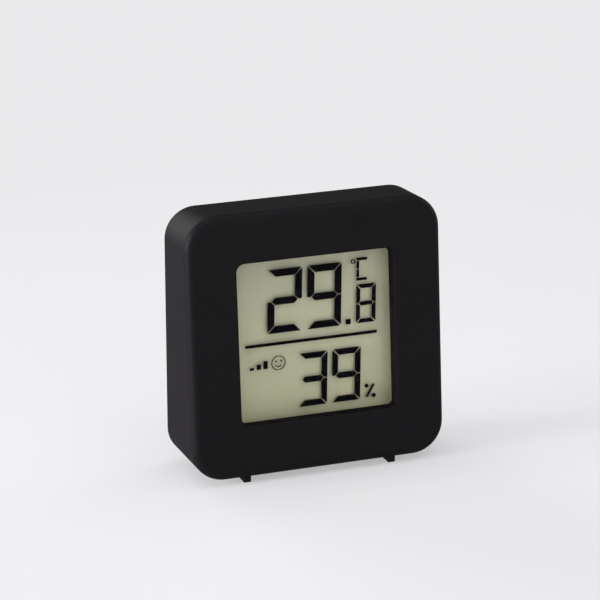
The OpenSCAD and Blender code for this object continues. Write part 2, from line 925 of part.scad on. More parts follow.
// The button: dished cap, inner flange and stem in one moulding
module unit_button() {
    dish_rim = 0.5;
    dish_deep = 0.25;
    dish_r = button_r - dish_rim;
    ball_r = (pow(dish_r, 2) + pow(dish_deep, 2)) / (2 * dish_deep);
    cap_y = back_y - button_sink;
    flange_y = cover_in_y - flange_gap;
    color("#2c2b2f")
        translate([button_x, 0, button_z])
            difference() {
                union() {
                    bar_y(0, 0, flange_y - eps, cap_y, button_r);
                    bar_y(0, 0, flange_y - flange_t, flange_y, button_r + flange_over);
                    bar_y(0, 0, plunger_tip_y + button_gap, flange_y - flange_t + eps, plunger_r);
                }
                translate([0, cap_y - dish_deep + ball_r, 0])
                    sphere(ball_r);
            }
}

// The rear cover, with the battery bay moulded on

module bay_outer() {
    bar_x(cell_y, cell_z, -bay_half - bay_wall, bay_half + bay_wall, bay_r + bay_wall);
    translate([-bay_half - bay_wall, cell_y, bay_z0 - bay_wall])
        cube([2 * (bay_half + bay_wall), cover_in_y - cell_y + eps, 2 * (bay_r + bay_wall)]);
}

module bay_inner() {
    bar_x(cell_y, cell_z, -bay_half, bay_half, bay_r);
    translate([-bay_half, cell_y, bay_z0])
        cube([2 * bay_half, back_y - cell_y + eps, 2 * bay_r]);
}

// The contacts' solder tabs stand up through slots in the top of the bay
tab_w = 2.4;
tab_y = cell_y + 1;
tab_rise = 1.8;
tab_clear = 0.15;

module tab_slots() {
    slot_x = bay_half - contact_t / 2;
    slot_y = tab_y - tab_w / 2 - tab_clear;
    for (side = [-1, 1])
        translate([side * slot_x - contact_t, slot_y, cell_z + bay_r - eps])
            cube([2 * contact_t, tab_w + 2 * tab_clear, bay_wall + 2 * eps]);
}

module keyhole() {
    entry_z = back_top_z - keyhole_drop;
    bar_y(0, entry_z, cover_in_y - eps, back_y + eps, keyhole_r);
    translate([-keyhole_slot_w / 2, cover_in_y - eps, entry_z])
        cube([keyhole_slot_w, cover_t + 2 * eps, keyhole_rise]);
    bar_y(0, entry_z + keyhole_rise, cover_in_y - eps, back_y + eps, keyhole_slot_w / 2);
}

module vents() {
    for (k = [0 : vent_count - 1])
        translate([sensor_x + (k - (vent_count - 1) / 2) * vent_pitch, 0, sensor_z])
            slab(cover_in_y - eps, back_y + eps) {
                square([vent_w, vent_h - vent_w], center = true);
                for (end = [-1, 1])
                    translate([0, end * (vent_h - vent_w) / 2])
                        circle(vent_w / 2);
            }
}

module rear_cover() {
    nail_r = latch_w / 2;
    nail_z = cell_z + bay_r - nail_r / 3;
    nail_deep = cover_t / 2;
    color("#212023")
        difference() {
            union() {
                translate([0, 0, back_mid_z])
                    slab(cover_in_y, back_y)
                        rounded_rect(case_w - 2 * (rim_t + cover_gap), back_h - 2 * (rim_t + cover_gap),
                            back_corner_r - rim_t - cover_gap);
                bay_outer();
            }
            bay_inner();
            tab_slots();
            for (side = [-1, 1])
                bar_x(hinge_y, hinge_z, side < 0 ? -bay_half - axle_len - door_gap : bay_half - eps,
                    side < 0 ? -bay_half + eps : bay_half + axle_len + door_gap, axle_r + axle_clear);
            keyhole();
            vents();
            bar_y(button_x, button_z, cover_in_y - eps, back_y + eps, button_r + hole_gap);
            at_case_screws() {
                bar_y(0, 0, back_y - case_head_h - head_room, back_y + eps, case_head_r + head_clear);
                bar_y(0, 0, cover_in_y - eps, back_y, case_screw_r + head_clear);
            }
            bar_y(0, nail_z, back_y - nail_deep, back_y + eps, nail_r);
        }
}

module case_screws() {
    color("#8f9094")
        at_case_screws()
            translate([0, back_y - case_head_h - head_room, 0])
                screw(case_screw_r, case_screw_len - cover_t, case_head_r, case_head_h);
}

// The cell and its contacts

module aaa_cell() {
    bevel = 0.6;
    cell_r = cell_d / 2;
    can_len = cell_end_x - cell_start_x;
    color("#7f8a90")
        translate([cell_start_x, cell_y, cell_z])
            rotate([0, 90, 0])
                rotate_extrude()
                    polygon([[0, 0], [cell_r - bevel, 0], [cell_r, bevel], [cell_r, can_len - bevel],
                        [cell_r - bevel, can_len], [nub_r, can_len], [nub_r, can_len + nub_len],
                        [0, can_len + nub_len]]);
}

// A contact plate with its solder tab, drawn on the positive side
module contact_plate() {
    corner_r = 1.5;
    translate([bay_half - contact_t, cell_y, cell_z])
        rotate([90, 0, 90])
            linear_extrude(contact_t) {
                rounded_rect(contact_w, contact_w, corner_r);
                translate([tab_y - cell_y - tab_w / 2, 0])
                    square([tab_w, bay_top + tab_rise - cell_z]);
            }
}

module positive_contact() {
    color("#d4d2c8")
        contact_plate();
}

module negative_contact() {
    color("#d4d2c8")
        mirror([1, 0, 0])
            contact_plate();
}

spring_x = -bay_half + contact_t;
spring_steps = 8;
spring_sides = 6;
spring_first = [0, 1, 0];

function spring_point(t) =
    let (r = spring_base_r + (spring_tip_r - spring_base_r) * t / spring_turns,
         climb = spring_wire + (spring_len - 2 * spring_wire) * t / spring_turns)
        [spring_x + climb, cell_y + r * cos(360 * t), cell_z + r * sin(360 * t)];
function along_x(p, x) = [x, p[1], p[2]];
spring_path = concat([along_x(spring_point(0), spring_x)],
    [for (i = [0 : spring_turns * spring_steps]) spring_point(i / spring_steps)],
    [along_x(spring_point(spring_turns), spring_x + spring_len)]);

gap_steps = 24;
spring_gap = min([for (i = [0 : (spring_turns - 1) * gap_steps], j = [gap_steps / 2 : gap_steps * 3 / 2])
    if (i + j <= spring_turns * gap_steps)
        norm(spring_point(i / gap_steps) - spring_point((i + j) / gap_steps))]) - spring_wire;
echo(least_gap_between_spring_turns = spring_gap);

module contact_spring() {
    color("#d9d9d6")
        tube(spring_path, spring_wire / 2, spring_sides, spring_first);
}

// A lead runs from the tab's face to a pad on the board, on one smooth curve
lead_steps = 8;
lead_sides = 8;
lead_first = [0, 0, 1];
pad_in = 6;
pad_up = 1.5;
lead_tab = [bay_half - contact_t, tab_y, bay_top + tab_rise - lead_d];
lead_pad = [bay_half - pad_in, board_back_v, board_low + pad_up];
lead_off_tab = lead_tab - [lead_d, 0, 0];
lead_off_pad = lead_pad + [0, lead_d, 0];
lead_pull = 2.5;

function bezier(a, b, c, d, t) =
    a * pow(1 - t, 3) + b * 3 * t * pow(1 - t, 2) + c * 3 * t * t * (1 - t) + d * pow(t, 3);
lead_path = concat([lead_tab],
    [for (i = [0 : lead_steps])
        bezier(lead_off_tab, lead_off_tab - [lead_pull, 0, 0], to_world(lead_off_pad + [0, lead_pull, 0]),
            to_world(lead_off_pad), i / lead_steps)],
    [to_world(lead_pad)]);

module positive_lead() {
    color("#b3261e")
        tube(lead_path, lead_d / 2, lead_sides, lead_first);
}

module negative_lead() {
    color("#1b1b1b")
        mirror([1, 0, 0])
            tube(lead_path, lead_d / 2, lead_sides, lead_first);
}

// The battery door: a plate with a rounded hinge edge, stub axles and a latch

module battery_door() {
    latch_t = 1.2;
    latch_in = 1.3;
    latch_drop = 0.6;
    groove_w = 0.6;
    groove_step = 1.4;
    groove_count = 3;
    groove_drop = 2.6;
    groove_z = door_top - groove_drop;
    color("#252427")
        difference() {
            union() {
                translate([-door_half, back_y - door_t, hinge_z])
                    cube([2 * door_half, door_t, door_top - hinge_z]);
                bar_x(hinge_y, hinge_z, -door_half, door_half, barrel_r);
                bar_x(hinge_y, hinge_z, -bay_half - axle_len, bay_half + axle_len, axle_r);
                translate([-latch_w / 2, back_y - door_t - latch_in, door_top - latch_drop - latch_t])
                    cube([latch_w, latch_in + eps, latch_t]);
            }
            for (k = [0 : groove_count - 1])
                translate([-latch_w / 2, back_y - groove_w / 2, groove_z - k * groove_step])
                    cube([latch_w, groove_w, groove_w]);
        }
}

front_case();
lens_tape();
display_lens();
display_gasket();
front_polariser();
front_glass();
lcd_segments();
glass_seal();
rear_glass();
reflector();
display_frame();
zebra_strip();
main_board();
board_screws();
chip_blob();
crystal();
board_parts();
humidity_sensor();
thermistor();
tact_switch();
switch_plunger();
unit_button();
rear_cover();
case_screws();
aaa_cell();
positive_contact();
negative_contact();
contact_spring();
positive_lead();
negative_lead();
battery_door();
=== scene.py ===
import math

import bmesh
import bpy
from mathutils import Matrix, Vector
from mathutils.geometry import interpolate_bezier


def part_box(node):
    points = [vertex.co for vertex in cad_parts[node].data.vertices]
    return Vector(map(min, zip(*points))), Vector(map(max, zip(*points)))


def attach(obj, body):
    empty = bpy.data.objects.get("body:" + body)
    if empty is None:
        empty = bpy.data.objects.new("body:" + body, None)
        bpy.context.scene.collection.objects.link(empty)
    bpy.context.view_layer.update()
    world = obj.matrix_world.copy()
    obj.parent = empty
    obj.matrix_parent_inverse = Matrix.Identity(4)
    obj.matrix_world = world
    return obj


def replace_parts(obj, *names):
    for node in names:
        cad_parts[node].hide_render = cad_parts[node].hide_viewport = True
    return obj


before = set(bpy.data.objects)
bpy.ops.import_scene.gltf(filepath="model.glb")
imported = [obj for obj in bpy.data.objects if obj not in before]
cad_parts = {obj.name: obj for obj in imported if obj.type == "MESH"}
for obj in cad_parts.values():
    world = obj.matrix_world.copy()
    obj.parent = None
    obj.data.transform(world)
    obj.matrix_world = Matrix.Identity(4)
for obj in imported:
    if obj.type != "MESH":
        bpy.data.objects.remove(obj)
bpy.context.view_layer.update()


# The front case is one black injection moulding: a leaning box with a soft front edge, a drafted window
# and two skid rails below. Its mould is spark-eroded, and the grain leaves a fifth of the skin's gloss.
mm = 0.001
lean = math.radians(5)
face_h = 60 * mm
front_corner_r = 7.5 * mm
back_corner_r = 7 * mm
front_round = 2 * mm
front_round_steps = 10
back_round = 0.8 * mm
back_round_steps = 6
front_wall = 2.3 * mm
side_wall = 2 * mm
rim_wall = 1.2 * mm
rim_depth = 2 * mm
rim_edge = 0.15 * mm
window_w = 37 * mm
window_r = 2 * mm
window_draft = 0.2 * mm
window_edge = 0.3 * mm
window_edge_steps = 4
window_lift = 0.4 * mm
crisp_angle = math.radians(50)
weld_gap = 0.002 * mm

case_low, case_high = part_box("front_case")
case_w = case_high.x - case_low.x
back_y = case_high.y
seat_y = back_y - rim_depth
rail_h = 1.3 * mm
front_y = case_low.y - front_round * math.sin(lean)
face_bottom = rail_h + front_round * math.sin(lean)
face_middle = face_h / 2
window_middle = face_middle + window_lift


def on_face(across, depth, rise):
    """A point of the leaning front: across it, into the case and up the face from its lower edge."""
    y = front_y + depth * math.cos(lean) + rise * math.sin(lean)
    z = face_bottom + rise * math.cos(lean) - depth * math.sin(lean)
    return Vector((across, y, z))


def rise_of(z, depth):
    """How far up the face a point lies that has the given height and depth."""
    return (z - face_bottom + depth * math.sin(lean)) / math.cos(lean)


def rounded_outline(width, height, radius, steps=12):
    """Points round a rectangle with round corners, as pairs of across and up from its middle."""
    points = []
    for quarter, (side, level) in enumerate(((1, 1), (-1, 1), (-1, -1), (1, -1))):
        for step in range(steps + 1):
            turn = math.pi / 2 * (quarter + step / steps)
            across = side * (width / 2 - radius) + radius * math.cos(turn)
            points.append((across, level * (height / 2 - radius) + radius * math.sin(turn)))
    return points


def face_ring(width, height, radius, depth, middle):
    """A rounded ring that lies parallel to the front."""
    return [on_face(x, depth, middle + up) for x, up in rounded_outline(width, height, radius)]


def back_ring(inset, y):
    """A rounded ring parallel to the upright back, drawn in from the outside of the case."""
    back_top = on_face(0, (back_y - front_y - face_h * math.sin(lean)) / math.cos(lean), face_h).z
    height = back_top - rail_h
    outline = rounded_outline(case_w - 2 * inset, height - 2 * inset, back_corner_r - inset)
    return [Vector((x, y, rail_h + height / 2 + up)) for x, up in outline]


def window_ring(outset, depth):
    """The window's outline, which the mould's draft narrows with depth."""
    draft = window_draft * depth / front_wall
    width = window_w - 2 * draft + 2 * outset
    return face_ring(width, width, window_r - draft + outset, depth, window_middle)


def quarter_turn(steps):
    """Cosine and sine along a quarter of a circle."""
    turns = [math.pi / 2 * step / steps for step in range(steps + 1)]
    return [(math.cos(turn), math.sin(turn)) for turn in turns]


def loft(mesh, rings, closed=False):
    """Skins a row of rings with equally many points, and caps its ends unless the row runs round."""
    rows = [[mesh.verts.new(point) for point in ring] for ring in rings]
    pairs = list(zip(rows, rows[1:]))
    faces = []
    if closed:
        pairs.append((rows[-1], rows[0]))
    else:
        faces = [mesh.faces.new(rows[0]), mesh.faces.new(rows[-1][::-1])]
    for near, far in pairs:
        for step in range(len(near)):
            faces.append(mesh.faces.new((near[step - 1], near[step], far[step], far[step - 1])))
    return faces


def turned(mesh, profile, place, steps=48):
    """Turns a profile of radius and distance along an axis; place sets each point in the case."""
    turns = [2 * math.pi * step / steps for step in range(steps)]
    rings = []
    for radius, along in profile:
        rings.append([place(radius * math.cos(turn), along, radius * math.sin(turn)) for turn in turns])
    return loft(mesh, rings)


def round_edges(mesh, faces, edge, segments=2):
    """Rounds every edge of the given faces, as a mould leaves them."""
    edges = list({side for face in faces for side in face.edges})
    bmesh.ops.bevel(mesh, geom=edges, offset=edge, segments=segments, profile=0.5, affect="EDGES")


def fuse(shell, fittings):
    """Makes one skin of closed forms that overlap, as the plastic does in the mould."""
    forms = []
    for mesh in (shell, fittings):
        bmesh.ops.recalc_face_normals(mesh, faces=mesh.faces)
        data = bpy.data.meshes.new("form")
        mesh.to_mesh(data)
        mesh.free()
        form = bpy.data.objects.new("form", data)
        bpy.context.scene.collection.objects.link(form)
        forms.append(form)
    union = forms[0].modifiers.new("fuse", "BOOLEAN")
    union.operation = "UNION"
    union.solver = "EXACT"
    union.use_self = True
    union.object = forms[1]
    fused = bmesh.new()
    fused.from_object(forms[0], bpy.context.evaluated_depsgraph_get())
    bmesh.ops.remove_doubles(fused, verts=fused.verts, dist=weld_gap)
    for form in forms:
        bpy.data.meshes.remove(form.data)
    return fused


def make_piece(mesh, name, body, material):
    """Turns a finished mesh into a piece that rides on a body, with smooth curves and crisp corners."""
    bmesh.ops.recalc_face_normals(mesh, faces=mesh.faces)
    for face in mesh.faces:
        face.smooth = True
    for side in mesh.edges:
        side.smooth = len(side.link_faces) == 2 and side.calc_face_angle() < crisp_angle
    data = bpy.data.meshes.new(name)
    mesh.to_mesh(data)
    mesh.free()
    data.materials.append(material)
    piece = bpy.data.objects.new(name, data)
    bpy.context.scene.collection.objects.link(piece)
    piece.modifiers.new("even_normals", "WEIGHTED_NORMAL").keep_sharp = True
    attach(piece, body)
    return piece


def paintbox(name):
    """A new material with its shader, and the two ways to build on it: add a node, link two sockets."""
    material = bpy.data.materials.new(name)
    material.use_nodes = True
    tree = material.node_tree

    def add(kind, **values):
        node = tree.nodes.new(kind)
        for socket, value in values.items():
            node.inputs[socket.replace("_", " ")].default_value = value
        return node

    return material, tree.nodes["Principled BSDF"], add, tree.links.new


def tone_ramp(add, deep, pale, low=0.35, high=0.65):
    """A ramp from a deep tone to a pale one, by default over the middle stretch that a noise fills."""
    ramp = add("ShaderNodeValToRGB")
    for stop, position, tone in zip(ramp.color_ramp.elements, (low, high), (deep, pale)):
        stop.position = position
        stop.color = (*tone, 1)
    return ramp


def uneven(add, least, most):
    """Turns a noise, which seldom strays far from its middle, into a value between two limits."""
    return add("ShaderNodeMapRange", From_Min=0.3, From_Max=0.7, To_Min=least, To_Max=most)


def moulded(name, deep, pale, sheen, rough, grain, relief):
    """A moulded or cast finish: two near tones in soft patches, and a fine grain in its skin and gloss."""
    patch_size = 8 * mm
    smear_size = 1.5 * mm
    smear_gloss = 0.02
    grain_strength = 0.35
    material, shader, add, link = paintbox(name)
    place = add("ShaderNodeTexCoord").outputs["Object"]
    patches = add("ShaderNodeTexNoise", Scale=1 / patch_size, Detail=3)
    tones = tone_ramp(add, deep, pale)
    smears = add("ShaderNodeTexNoise", Scale=1 / smear_size, Detail=4)
    gloss = uneven(add, rough - smear_gloss, rough + smear_gloss)
    grains = add("ShaderNodeTexNoise", Scale=1 / grain, Detail=2)
    skin = add("ShaderNodeBump", Strength=grain_strength, Distance=relief)
    for texture in (patches, smears, grains):
        link(place, texture.inputs["Vector"])
    link(patches.outputs["Fac"], tones.inputs["Fac"])
    link(tones.outputs["Color"], shader.inputs["Base Color"])
    link(smears.outputs["Fac"], gloss.inputs["Value"])
    link(gloss.outputs["Result"], shader.inputs["Roughness"])
    link(grains.outputs["Fac"], skin.inputs["Height"])
    link(skin.outputs["Normal"], shader.inputs["Normal"])
    link(skin.outputs["Normal"], shader.inputs["Coat Normal"])
    shader.inputs["Specular IOR Level"].default_value = sheen
    return material


case_gloss = 0.2
case_rough = 0.5
case_black = moulded("case_black", deep=(0.0046, 0.0037, 0.0047), pale=(0.0052, 0.0042, 0.0053), sheen=0,
                     rough=case_rough, grain=0.22 * mm, relief=0.012 * mm)
case_skin = case_black.node_tree.nodes["Principled BSDF"].inputs
case_skin["Coat Weight"].default_value = case_gloss
case_skin["Coat Roughness"].default_value = case_rough

# The shell, ring by ring: the window, the face and its rounding, the back's rounding, the rim, the inside.
shell = bmesh.new()
shell_rings = [window_ring(0, front_wall)]
for cosine, sine in quarter_turn(window_edge_steps):
    shell_rings.append(window_ring(window_edge * (1 - cosine), window_edge * (1 - sine)))
for cosine, sine in quarter_turn(front_round_steps):
    inset = front_round * (1 - sine)
    depth = front_round * (1 - cosine)
    radius = front_corner_r - inset
    shell_rings.append(face_ring(case_w - 2 * inset, face_h - 2 * inset, radius, depth, face_middle))
for cosine, sine in quarter_turn(back_round_steps):
    shell_rings.append(back_ring(back_round * (1 - cosine), back_y - back_round * (1 - sine)))
shell_rings.append(back_ring(rim_wall - rim_edge, back_y))
shell_rings.append(back_ring(rim_wall, back_y - rim_edge))
shell_rings.append(back_ring(rim_wall, seat_y))
shell_rings.append(back_ring(side_wall, seat_y))
inner_w = case_w - 2 * side_wall
inner_h = face_h - 2 * side_wall
shell_rings.append(face_ring(inner_w, inner_h, front_corner_r - side_wall, front_wall, face_middle))
loft(shell, shell_rings, closed=True)

# The skid rails, which reach half a wall into the case.
rail_w = 1.6 * mm
rail_x = 17.3 * mm
rail_setback = 1.1 * mm
rail_back_setback = 2.6 * mm
rail_nose = 0.3 * mm
rail_tail = rail_h / 2
rail_edge = 0.1 * mm
rail_front = front_y + rail_setback
rail_back = back_y - rail_back_setback
rail_root = rail_h + side_wall / 2
rail_side = [(rail_front, rail_root), (rail_front, rail_nose), (rail_front + rail_nose, 0),
             (rail_back - rail_tail, 0), (rail_back, rail_tail), (rail_back, rail_root)]
fittings = bmesh.new()
for side in (-1, 1):
    ends = [side * rail_x - rail_w / 2, side * rail_x + rail_w / 2]
    rail = loft(fittings, [[Vector((x, y, z)) for y, z in rail_side] for x in ends])
    round_edges(fittings, rail, rail_edge)

# The bosses for the cover's screws, which run from the front wall back to the cover's seat.
boss_r = 2.3 * mm
bore_r = 1.03 * mm
boss_bore_depth = 6 * mm
screw_head_r = 1.9 * mm
screw_low, screw_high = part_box("case_screws")
for x in (screw_low.x + screw_head_r, screw_high.x - screw_head_r):
    for z in (screw_low.z + screw_head_r, screw_high.z - screw_head_r):
        wall_y = front_y + (z - face_bottom) * math.tan(lean) + front_wall / 2
        boss = [(boss_r, wall_y), (boss_r, seat_y), (bore_r, seat_y), (bore_r, seat_y - boss_bore_depth)]
        turned(fittings, boss, lambda dx, along, dz: Vector((x + dx, along, z + dz)))

# The posts that the board is screwed to, square to the leaning front.
post_r = 1.9 * mm
post_x = 25.1 * mm
post_bore_depth = 4 * mm
board_depth = 7 * mm
board_back_depth = 8.2 * mm
board_screw_head_r = 1.7 * mm
board_screw_head_h = 1.1 * mm
board_screw_low, board_screw_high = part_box("board_screws")
low_post = rise_of(board_screw_low.z, board_back_depth + board_screw_head_h) + board_screw_head_r
high_post = rise_of(board_screw_high.z, board_back_depth) - board_screw_head_r
post = [(post_r, front_wall / 2), (post_r, board_depth), (bore_r, board_depth),
        (bore_r, board_depth - post_bore_depth)]
for x in (-post_x, post_x):
    for rise in (low_post, high_post):
        turned(fittings, post, lambda dx, along, dz: on_face(x + dx, along, rise + dz))

# The rib round the display, which keeps its glass in place.
rib_w = 44.2 * mm
rib_h = 47 * mm
rib_wall = 0.8 * mm
rib_root = front_wall / 2
rib_depth = 4.2 * mm
rib_middle = 31.8 * mm
rib_rings = []
for inset, depth in ((0, rib_root), (0, rib_depth), (rib_wall, rib_depth), (rib_wall, rib_root)):
    rib_rings.append(face_ring(rib_w - 2 * inset, rib_h - 2 * inset, rib_wall, depth, rib_middle))
loft(fittings, rib_rings, closed=True)

front_case = make_piece(fuse(shell, fittings), "case_moulding", "case", case_black)
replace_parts(front_case, "front_case")


# The lens is a clear acrylic sheet, cut to size and stuck behind the window with a frame of black tape.
# A frame of black foam behind it keeps dust off the display.
def dress(node, material):
    """Gives one of the solids its finish."""
    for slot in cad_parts[node].material_slots:
        slot.material = material


def let_light_in(sheet):
    """Keeps a clear sheet from shading what lies behind it."""
    sheet.visible_shadow = False
    sheet.visible_diffuse = False


def clear_sheet(name, deep, pale, rough, alpha):
    """A clear sheet with the faint uneven tint and polish of its faces."""
    patch_size = 6 * mm
    material, shader, add, link = paintbox(name)
    place = add("ShaderNodeTexCoord").outputs["Object"]
    patches = add("ShaderNodeTexNoise", Scale=1 / patch_size, Detail=2)
    tones = tone_ramp(add, deep, pale, low=0.3, high=0.7)
    gloss = uneven(add, rough, 2 * rough)
    link(place, patches.inputs["Vector"])
    link(patches.outputs["Fac"], tones.inputs["Fac"])
    link(tones.outputs["Color"], shader.inputs["Base Color"])
    link(patches.outputs["Fac"], gloss.inputs["Value"])
    link(gloss.outputs["Result"], shader.inputs["Roughness"])
    shader.inputs["Alpha"].default_value = alpha
    return material


lens_acrylic = clear_sheet("lens_acrylic", deep=(0.01, 0.012, 0.01), pale=(0.014, 0.016, 0.014),
                           rough=0.06, alpha=0.02)
dress("display_lens", lens_acrylic)
let_light_in(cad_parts["display_lens"])
foam_black = moulded("foam_black", deep=(0.012, 0.012, 0.013), pale=(0.03, 0.03, 0.032), sheen=0.1,
                     rough=0.85, grain=0.3 * mm, relief=0.15 * mm)
dress("lens_tape", foam_black)
dress("display_gasket", foam_black)


# The display's front plate is a sheet of glass with a polarising film on its face. It is taller than the
# plate behind it, so that its upper edge bears the contacts. Both are cut by scribing and breaking.
pane_gap = 0.02 * mm
pane_corner = 0.25 * mm
pane_edge = 0.08 * mm
pane_w = 39.6 * mm
front_pane_h = 42.4 * mm
front_pane_depths = (3.4 * mm, 4.3 * mm)
glass_clear = clear_sheet("glass_clear", deep=(0.01, 0.013, 0.01), pale=(0.014, 0.017, 0.014),
                          rough=0.04, alpha=0.015)


def pane(name, height, middle, depths):
    """A glass plate with its sharp edges taken off, a hair clear of the layers on either side."""
    mesh = bmesh.new()
    near = depths[0] + pane_gap
    far = depths[1] - pane_gap
    rings = []
    for inset, depth in ((pane_edge, near), (0, near + pane_edge), (0, far - pane_edge), (pane_edge, far)):
        rings.append(face_ring(pane_w - 2 * inset, height - 2 * inset, pane_corner, depth, middle))
    loft(mesh, rings)
    plate = make_piece(mesh, name, "case", glass_clear)
    let_light_in(plate)
    return plate


front_pane = pane("front_pane", front_pane_h, rib_middle, front_pane_depths)
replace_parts(front_pane, "front_polariser", "front_glass")


# The readings and the small signs are liquid crystal between the two plates, dark where the etched
# electrodes drive it. Each segment has its own electrode, a hair of clear crystal away from the next.
crystal_dark = moulded("crystal_dark", deep=(0.0012, 0.001, 0.0022), pale=(0.002, 0.0016, 0.0036), sheen=0.02,
                       rough=0.5, grain=0.6 * mm, relief=0.002 * mm)
dress("lcd_segments", crystal_dark)


# The rear plate closes the crystal in, sealed to the front one by a printed line of resin.
# Behind it a grey-green film throws the daylight back, which gives the display its colour.
rear_pane_h = 39.6 * mm
rear_pane_depths = (4.4 * mm, 5.1 * mm)
rear_pane = pane("rear_pane", rear_pane_h, window_middle, rear_pane_depths)
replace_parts(rear_pane, "rear_glass")
seal_resin = moulded("seal_resin", deep=(0.5, 0.5, 0.42), pale=(0.6, 0.6, 0.5), sheen=0.4, rough=0.5,
                     grain=0.4 * mm, relief=0.01 * mm)
dress("glass_seal", seal_resin)


def reflector_film():
    """A film that is greyer at the top and warmer below, and a shade paler below as painted light that
    offsets the shade under the window's lower edge, with the fine grain of its aluminium flakes.
    """
    # The lower tone is a little paler than the upper one: painted light that offsets the shade of the
    # window's lower edge.
    warm_tint_painted_light_low = (0.59, 0.588, 0.38)
    grey_high = (0.58, 0.575, 0.415)
    flake_size = 0.25 * mm
    flake_relief = 0.004 * mm
    flake_strength = 0.3
    tone_waver = 6 * mm
    least_rough = 0.5
    most_rough = 0.65
    sheen = 0.2
    film_low, film_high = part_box("reflector")
    material, shader, add, link = paintbox("reflector_film")
    place = add("ShaderNodeTexCoord").outputs["Object"]
    split = add("ShaderNodeSeparateXYZ")
    flakes = add("ShaderNodeTexNoise", Scale=1 / flake_size, Detail=2)
    waver = add("ShaderNodeMath")
    waver.operation = "MULTIPLY_ADD"
    waver.inputs[1].default_value = tone_waver
    rise = add("ShaderNodeMapRange", From_Min=film_low.z, From_Max=film_high.z)
    tones = tone_ramp(add, warm_tint_painted_light_low, grey_high, low=0, high=1)
    gloss = uneven(add, least_rough, most_rough)
    skin = add("ShaderNodeBump", Strength=flake_strength, Distance=flake_relief)
    link(place, split.inputs["Vector"])
    link(place, flakes.inputs["Vector"])
    link(flakes.outputs["Fac"], waver.inputs[0])
    link(split.outputs["Z"], waver.inputs[2])
    link(waver.outputs["Value"], rise.inputs["Value"])
    link(rise.outputs["Result"], tones.inputs["Fac"])
    link(tones.outputs["Color"], shader.inputs["Base Color"])
    link(flakes.outputs["Fac"], gloss.inputs["Value"])
    link(gloss.outputs["Result"], shader.inputs["Roughness"])
    link(flakes.outputs["Fac"], skin.inputs["Height"])
    link(skin.outputs["Normal"], shader.inputs["Normal"])
    shader.inputs["Specular IOR Level"].default_value = sheen
    return material


dress("reflector", reflector_film())


# A frame of natural white plastic holds the display off the board. A strip of layered rubber, conducting
# and insulating by turns, is squeezed between the front plate's edge and the board.
layer_pitch = 0.18 * mm


def close_seams(node):
    """Joins the patches of one of the solids where they meet."""
    seam_gap = 0.003 * mm
    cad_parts[node].modifiers.new("one_skin", "WELD").merge_threshold = seam_gap


def ease_edges(node, edge, corner=math.radians(40)):
    """Rounds the corners of one of the solids as they leave the mould or the press."""
    flat_angle = math.radians(0.5)
    close_seams(node)
    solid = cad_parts[node]
    flats = solid.modifiers.new("flat_faces", "DECIMATE")
    flats.decimate_type = "DISSOLVE"
    flats.angle_limit = flat_angle
    rounding = solid.modifiers.new("round_edges", "BEVEL")
    rounding.width = edge
    rounding.segments = 2
    rounding.limit_method = "ANGLE"
    rounding.angle_limit = corner
    solid.modifiers.new("even_normals", "WEIGHTED_NORMAL")


def stripes(add, pitch, direction):
    """Straight even bands across one axis; at a scale of one they repeat every tenth of pi."""
    bands = add("ShaderNodeTexWave", Scale=math.pi / 10 / pitch)
    bands.bands_direction = direction
    return bands


def striped(name, deep, pale, pitch, direction, rough):
    """A finish of two tones in straight stripes, the paler ones a little proud."""
    stripe_strength = 0.2
    stripe_relief = 0.01 * mm
    material, shader, add, link = paintbox(name)
    place = add("ShaderNodeTexCoord").outputs["Object"]
    layers = stripes(add, pitch, direction)
    tones = tone_ramp(add, deep, pale, low=0.4, high=0.6)
    skin = add("ShaderNodeBump", Strength=stripe_strength, Distance=stripe_relief)
    link(place, layers.inputs["Vector"])
    link(layers.outputs["Fac"], tones.inputs["Fac"])
    link(tones.outputs["Color"], shader.inputs["Base Color"])
    link(layers.outputs["Fac"], skin.inputs["Height"])
    link(skin.outputs["Normal"], shader.inputs["Normal"])
    shader.inputs["Roughness"].default_value = rough
    return material


frame_white = moulded("frame_white", deep=(0.66, 0.65, 0.6), pale=(0.74, 0.73, 0.68), sheen=0.4, rough=0.5,
                      grain=0.5 * mm, relief=0.01 * mm)
ease_edges("display_frame", edge=0.15 * mm)
dress("display_frame", frame_white)
layered_rubber = striped("layered_rubber", deep=(0.06, 0.06, 0.065), pale=(0.68, 0.64, 0.6),
                         pitch=layer_pitch, direction="X", rough=0.6)
dress("zebra_strip", layered_rubber)


# The board is glass-fibre laminate with copper tracks under a green lacquer. It bears a chip under a drop
# of black resin, a clock crystal in a tinned can and a row of small chip parts.
track_pitch = 0.9 * mm
track_patch = 6 * mm
part_pitch = 0.8 * mm


